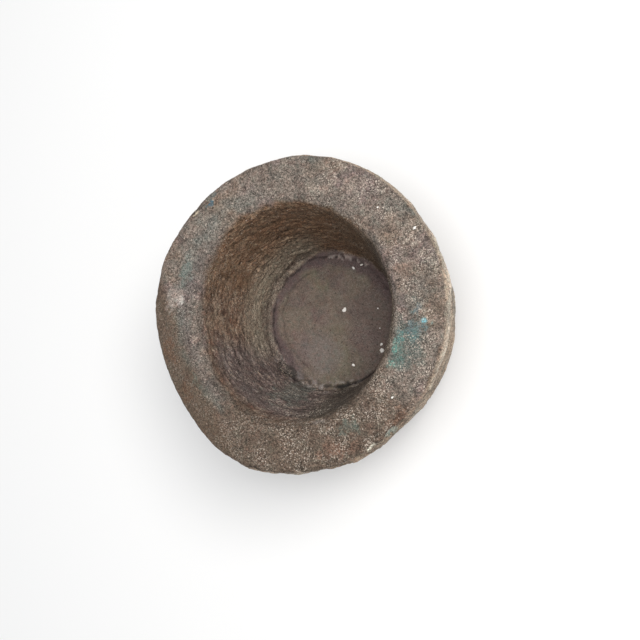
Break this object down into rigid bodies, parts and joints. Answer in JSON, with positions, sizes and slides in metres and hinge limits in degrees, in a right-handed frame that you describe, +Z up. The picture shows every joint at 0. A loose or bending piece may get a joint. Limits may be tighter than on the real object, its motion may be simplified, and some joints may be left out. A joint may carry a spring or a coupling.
{
  "type": "stone mortar",
  "caption": "Heavy round stone mortar bowl hewn from one block, with a broad flat rim, a worn rounded mouth and a deep tapered hollow with a flat floor.",
  "frame": {"origin": "middle of the flat foot, under the middle of the bowl's box", "axes": "+Z up out of the mouth, +Y towards the back of the rim, +X to the right; the worn facet of the rim lies towards -X and a little -Y"},
  "size_m": [0.2049, 0.2092, 0.125],
  "materials": {
    "stone": "pecked and worn fine-grained basalt, matt, grey-brown with paler grains"
  },
  "bodies": {
    "root": {"bowl": "stone"}
  },
  "joints": []
}
